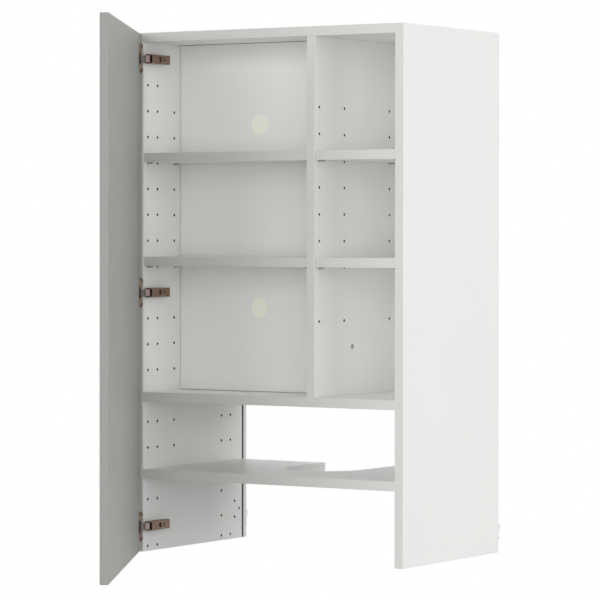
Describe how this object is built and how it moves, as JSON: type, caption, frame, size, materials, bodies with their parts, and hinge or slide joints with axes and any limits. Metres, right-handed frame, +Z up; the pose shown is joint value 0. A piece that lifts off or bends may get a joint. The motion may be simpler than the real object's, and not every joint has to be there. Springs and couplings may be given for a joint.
{
  "type": "kitchen wall cabinet",
  "caption": "White wall cabinet for a built-in extractor hood: shelved bays above, an open space and a notched shelf for the flue below, and a slab door on concealed hinges.",
  "frame": {"origin": "midway between the two wall hangers' bolt holes, on the hangers' rear face", "axes": "+X to the right seen from the front, +Y to the wall, +Z up"},
  "size_m": [0.6005, 0.8986, 1],
  "materials": {
    "white_board": "white melamine-faced board, satin",
    "back_board": "white-faced hardboard",
    "door_board": "grey-green laminated board, matt",
    "dowel_wood": "plain beech",
    "cap_plastic": "cream plastic",
    "spacer_plastic": "white plastic",
    "zinc_steel": "zinc plated",
    "hinge_bronze": "bronze-brown plating",
    "hinge_link_bronze": "lighter bronze plating",
    "hinge_dark_steel": "blackened"
  },
  "bodies": {
    "carcass": {"left_side": "white_board", "right_side": "white_board", "top_panel": "white_board", "mid_panel": "white_board", "hood_shelf": "white_board", "divider": "white_board", "false_back": "white_board", "left_shelf_lower": "white_board", "left_shelf_upper": "white_board", "right_shelf_lower": "white_board", "right_shelf_upper": "white_board", "back_panel": "back_board", "carcass_dowels": "dowel_wood", "false_back_caps": "cap_plastic", "left_wall_spacer": "spacer_plastic", "right_wall_spacer": "spacer_plastic", "left_hanger": "zinc_steel", "right_hanger": "zinc_steel", "hanger_screws": "zinc_steel", "false_back_screw": "zinc_steel", "shelf_pins": "zinc_steel", "bottom_hinge_plate": "hinge_bronze", "bottom_hinge_arm": "hinge_bronze", "middle_hinge_plate": "hinge_bronze", "middle_hinge_arm": "hinge_bronze", "top_hinge_plate": "hinge_bronze", "top_hinge_arm": "hinge_bronze", "hinge_adjusters": "hinge_dark_steel", "hinge_arm_pins": "hinge_dark_steel"},
    "hinge_links": {"bottom_hinge_link": "hinge_link_bronze", "middle_hinge_link": "hinge_link_bronze", "top_hinge_link": "hinge_link_bronze"},
    "door": {"door": "door_board", "hinge_cup_pins": "hinge_dark_steel", "cup_screws": "hinge_dark_steel", "bottom_hinge_cup": "hinge_bronze", "middle_hinge_cup": "hinge_bronze", "top_hinge_cup": "hinge_bronze"}
  },
  "joints": [
    {"name": "link_swing", "type": "hinge", "parent": "carcass", "child": "hinge_links", "pos_m": [-0.271, -0.343, 0], "axis": [0, 0, -1], "range_deg": [-10.5, 15.7]},
    {"name": "door_swing", "type": "hinge", "parent": "hinge_links", "child": "door", "pos_m": [-0.28653, -0.35616, 0], "axis": [0, 0, -1], "range_deg": [-75.6, 50.4]}
  ],
  "couplings": [
    {"joint": "link_swing", "follows": "door_swing", "ratio": -0.20635}
  ]
}
